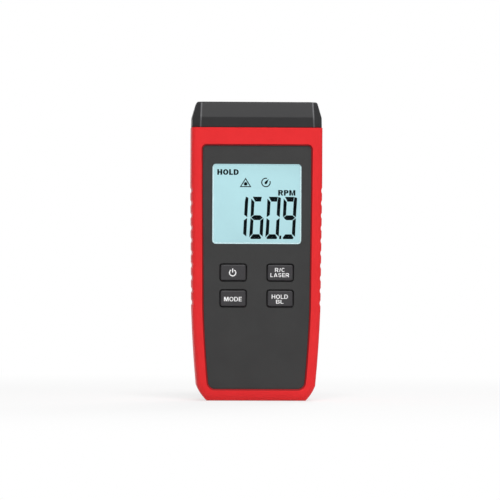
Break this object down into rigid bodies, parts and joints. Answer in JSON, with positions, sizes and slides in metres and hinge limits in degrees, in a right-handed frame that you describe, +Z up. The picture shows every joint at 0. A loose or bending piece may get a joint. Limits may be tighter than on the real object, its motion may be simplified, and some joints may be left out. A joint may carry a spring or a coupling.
{
  "type": "handheld laser tachometer",
  "caption": "Pocket photo tachometer: red shell with notched grips, dark face with backlit display and press keys, hipped nose cap with a sensor window, battery bay behind a tilting door.",
  "frame": {"origin": "middle of the box's footprint, on the flat foot that the instrument stands on", "axes": "+Z up the instrument to the sensor window, -Y out of the face, +X to the right of the face"},
  "size_m": [0.0558, 0.029, 0.1272],
  "materials": {
    "red_plastic": "satin moulded ABS",
    "grey_plastic": "fine textured ABS",
    "cap_plastic": "satin moulded ABS",
    "key_plastic": "satin moulded ABS",
    "smoked_window": "polished smoked acrylic",
    "clear_window": "polished clear acrylic",
    "lcd": "backlit liquid crystal glass",
    "white_plastic": "moulded polycarbonate",
    "black_plastic": "moulded nylon",
    "circuit_board": "solder masked glass epoxy",
    "contact_rubber": "layered silicone",
    "steel": "plated steel",
    "brass": "turned brass",
    "lens": "polished glass",
    "cell_wrap": "plain printed sleeve"
  },
  "bodies": {
    "housing": {"front_case": "red_plastic", "rear_case": "red_plastic", "face_panel": "grey_plastic", "nose_cap": "cap_plastic", "sensor_window": "smoked_window", "display_window": "clear_window", "lcd_glass": "lcd", "backlight": "white_plastic", "lcd_frame": "white_plastic", "zebra_strip": "contact_rubber", "circuit_board": "circuit_board", "microcontroller": "black_plastic", "crystal": "steel", "tact_switches": "steel", "optics_holder": "black_plastic", "laser_module": "brass", "laser_lens": "lens", "receiver_lens": "lens", "photodiode": "black_plastic", "left_cell": "cell_wrap", "middle_cell": "cell_wrap", "right_cell": "cell_wrap", "contact_springs": "steel", "contact_plates": "steel", "case_screws": "steel", "board_screws": "steel"},
    "power_key": {"power_key": "key_plastic", "power_plunger": "black_plastic"},
    "laser_key": {"laser_key": "key_plastic", "laser_plunger": "black_plastic"},
    "mode_key": {"mode_key": "key_plastic", "mode_plunger": "black_plastic"},
    "hold_key": {"hold_key": "key_plastic", "hold_plunger": "black_plastic"},
    "battery_door": {"battery_door": "grey_plastic"}
  },
  "joints": [
    {"name": "power_press", "type": "slide", "parent": "housing", "child": "power_key", "axis": [0, 1, 0], "range_m": [0, 0.0006], "stiffness_N_per_m": 1500},
    {"name": "laser_press", "type": "slide", "parent": "housing", "child": "laser_key", "axis": [0, 1, 0], "range_m": [0, 0.0006], "stiffness_N_per_m": 1500},
    {"name": "mode_press", "type": "slide", "parent": "housing", "child": "mode_key", "axis": [0, 1, 0], "range_m": [0, 0.0006], "stiffness_N_per_m": 1500},
    {"name": "hold_press", "type": "slide", "parent": "housing", "child": "hold_key", "axis": [0, 1, 0], "range_m": [0, 0.0006], "stiffness_N_per_m": 1500},
    {"name": "battery_door_tilt", "type": "hinge", "parent": "housing", "child": "battery_door", "pos_m": [0, 0.0133, 0.0112], "axis": [-1, 0, 0], "range_deg": [0, 60]}
  ]
}
